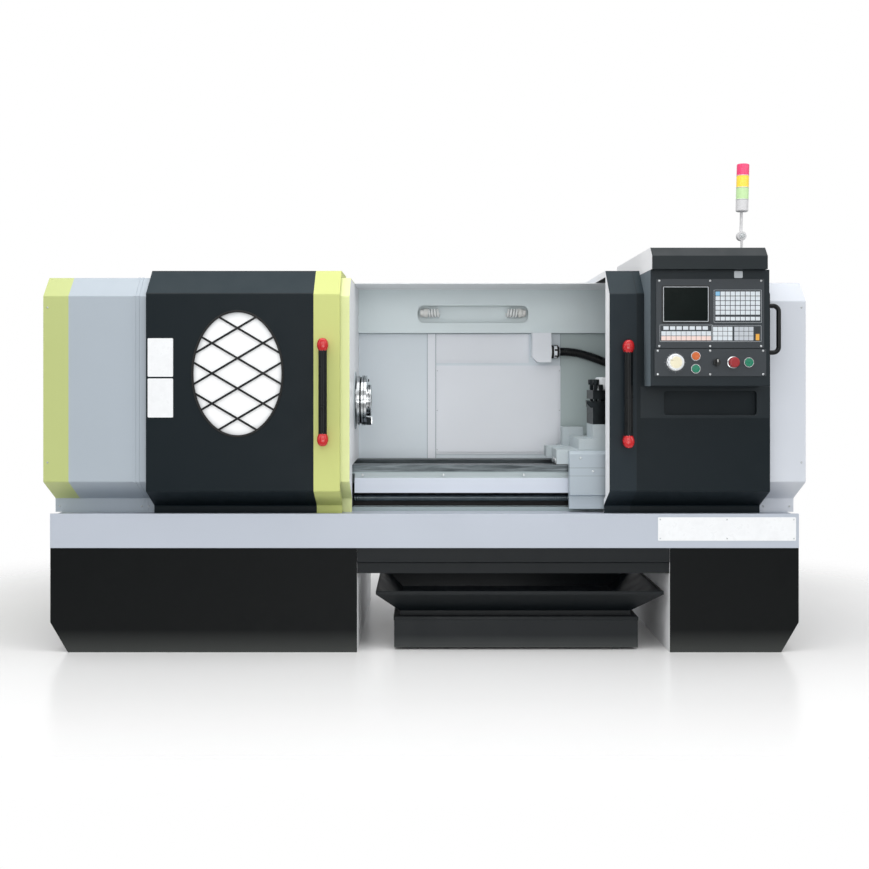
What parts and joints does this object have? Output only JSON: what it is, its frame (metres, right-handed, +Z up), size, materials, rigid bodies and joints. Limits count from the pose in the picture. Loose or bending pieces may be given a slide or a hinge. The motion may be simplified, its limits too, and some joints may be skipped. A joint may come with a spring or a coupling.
{
  "type": "cnc turning lathe",
  "caption": "Flat-bed turning lathe with computer control, sliding guard doors, an oval window, a control box on the right door and a chip pan below.",
  "frame": {"origin": "on the floor below the middle of the machine's bounding box", "axes": "+Z up, +X to the operator's right, the operator stands at -Y"},
  "size_m": [3.05, 1.4, 1.9724],
  "materials": {
    "silver_enamel": "satin sprayed enamel",
    "light_grey_enamel": "satin sprayed enamel",
    "black_enamel": "fine-texture sprayed enamel",
    "cast_enamel": "sprayed enamel over a casting",
    "ground_steel": "ground steel",
    "dark_steel": "blackened steel",
    "bright_chrome": "polished",
    "cast_iron": "machined casting",
    "belt_rubber": "ribbed rubber",
    "black_plastic": "moulded",
    "grey_plastic": "moulded",
    "key_white": "membrane keys",
    "panel_film": "polyester film on a steel plate",
    "white_glass": "frosted sheet",
    "orange_plastic": "moulded",
    "green_plastic": "moulded",
    "red_plastic": "moulded",
    "lens_green": "translucent lens",
    "lens_yellow": "translucent lens",
    "lens_red": "translucent lens",
    "lamp_tube": "clear tube over a white reflector",
    "aluminium": "turned and anodised"
  },
  "bodies": {
    "machine": {"left_pedestal": "black_enamel", "right_pedestal": "black_enamel", "base_tray": "silver_enamel", "front_beam": "black_enamel", "bed": "ground_steel", "bed_front_cover": "light_grey_enamel", "feed_servo": "black_plastic", "headstock": "cast_enamel", "spindle_motor": "cast_enamel", "drive_belts": "belt_rubber", "left_end_cover": "silver_enamel", "headstock_cover": "silver_enamel", "right_end_cover": "silver_enamel", "left_bulkhead": "light_grey_enamel", "rear_wall": "light_grey_enamel", "access_panels": "light_grey_enamel", "work_lamp": "lamp_tube", "cable_boxes": "light_grey_enamel", "conduit": "black_plastic", "electrical_cabinet": "silver_enamel"},
    "spindle": {"spindle": "ground_steel", "spindle_plate": "bright_chrome", "spindle_pulley": "cast_iron"},
    "motor_rotor": {"motor_pulley": "cast_iron"},
    "drive_screw": {"drive_screw": "bright_chrome"},
    "carriage": {"apron": "light_grey_enamel", "saddle": "cast_enamel"},
    "cross_slide": {"cross_slide": "cast_enamel"},
    "turret": {"tool_post": "dark_steel", "cutting_tools": "dark_steel"},
    "tailstock": {"tailstock": "cast_enamel"},
    "quill": {"quill": "ground_steel", "tail_centre": "ground_steel"},
    "tail_wheel": {"tail_wheel": "bright_chrome"},
    "left_door": {"left_door": "black_enamel", "window_pane": "white_glass", "window_grille": "dark_steel", "left_handle": "black_plastic"},
    "right_door": {"right_door": "black_enamel", "right_handle": "black_plastic", "control_box": "black_enamel", "control_hood": "black_enamel", "upper_panel": "panel_film", "keypad": "key_white", "lower_panel": "panel_film", "side_handle": "black_plastic", "tower_hub": "grey_plastic"},
    "orange_button": {"orange_button": "orange_plastic"},
    "green_button": {"green_button": "green_plastic"},
    "start_button": {"start_button": "green_plastic"},
    "estop_button": {"estop_button": "red_plastic"},
    "selector_knob": {"selector_knob": "black_plastic"},
    "pulse_wheel": {"pulse_wheel": "aluminium"},
    "tower": {"tower_pole": "grey_plastic", "green_lamp": "lens_green", "yellow_lamp": "lens_yellow", "red_lamp": "lens_red"},
    "cabinet_door": {"cabinet_door": "silver_enamel"},
    "coolant_unit": {"chip_pan": "black_enamel", "coolant_tank": "black_enamel"}
  },
  "joints": [
    {"name": "left_door_slide", "type": "slide", "parent": "machine", "child": "left_door", "axis": [1, 0, 0], "range_m": [0, 0.758]},
    {"name": "right_door_slide", "type": "slide", "parent": "machine", "child": "right_door", "axis": [-1, 0, 0], "range_m": [0, 0.31]},
    {"name": "spindle_spin", "type": "hinge", "parent": "machine", "child": "spindle", "pos_m": [-0.3, -0.14, 1.002], "axis": [1, 0, 0], "continuous": true},
    {"name": "motor_spin", "type": "hinge", "parent": "machine", "child": "motor_rotor", "pos_m": [-1.05, 0.28, 0.72], "axis": [1, 0, 0], "continuous": true},
    {"name": "carriage_slide", "type": "slide", "parent": "machine", "child": "carriage", "axis": [-1, 0, 0], "range_m": [0, 0.72]},
    {"name": "drive_screw_spin", "type": "hinge", "parent": "machine", "child": "drive_screw", "pos_m": [0.5, -0.312, 0.598], "axis": [1, 0, 0], "range_deg": [-26000, 0]},
    {"name": "cross_slide_slide", "type": "slide", "parent": "carriage", "child": "cross_slide", "axis": [0, 1, 0], "range_m": [-0.095, 0.095]},
    {"name": "turret_index", "type": "hinge", "parent": "cross_slide", "child": "turret", "pos_m": [0.79, -0.245, 0.9], "axis": [0, 0, 1], "continuous": true},
    {"name": "tailstock_slide", "type": "slide", "parent": "machine", "child": "tailstock", "axis": [1, 0, 0], "range_m": [-0.08, 0.075]},
    {"name": "tail_wheel_spin", "type": "hinge", "parent": "tailstock", "child": "tail_wheel", "pos_m": [1.272, -0.14, 1.002], "axis": [1, 0, 0], "range_deg": [0, 5760]},
    {"name": "quill_slide", "type": "slide", "parent": "tailstock", "child": "quill", "axis": [-1, 0, 0], "range_m": [0, 0.0801]},
    {"name": "orange_button_press", "type": "slide", "parent": "right_door", "child": "orange_button", "axis": [0, 1, 0], "range_m": [0, 0.004], "stiffness_N_per_m": 300},
    {"name": "green_button_press", "type": "slide", "parent": "right_door", "child": "green_button", "axis": [0, 1, 0], "range_m": [0, 0.004], "stiffness_N_per_m": 300},
    {"name": "start_button_press", "type": "slide", "parent": "right_door", "child": "start_button", "axis": [0, 1, 0], "range_m": [0, 0.004], "stiffness_N_per_m": 300},
    {"name": "estop_press", "type": "slide", "parent": "right_door", "child": "estop_button", "axis": [0, 1, 0], "range_m": [0, 0.005]},
    {"name": "selector_turn", "type": "hinge", "parent": "right_door", "child": "selector_knob", "pos_m": [1.127, -0.668, 1.158], "axis": [0, 1, 0], "range_deg": [-45, 45]},
    {"name": "pulse_wheel_spin", "type": "hinge", "parent": "right_door", "child": "pulse_wheel", "pos_m": [0.968, -0.668, 1.158], "axis": [0, 1, 0], "continuous": true},
    {"name": "tower_fold", "type": "hinge", "parent": "right_door", "child": "tower", "pos_m": [1.295, -0.41, 1.678], "axis": [0, 1, 0], "range_deg": [-90, 90]},
    {"name": "cabinet_door_hinge", "type": "hinge", "parent": "machine", "child": "cabinet_door", "pos_m": [1.037, 0.688, 1], "axis": [0, 0, -1], "range_deg": [0, 110]},
    {"name": "coolant_unit_slide", "type": "slide", "parent": "machine", "child": "coolant_unit", "axis": [0, -1, 0], "range_m": [0, 0.6]}
  ],
  "couplings": [
    {"joint": "motor_spin", "follows": "spindle_spin", "ratio": 1.5714},
    {"joint": "drive_screw_spin", "follows": "carriage_slide", "rad_per_m": -628.32},
    {"joint": "quill_slide", "follows": "tail_wheel_spin", "m_per_rad": 0.00079577}
  ]
}
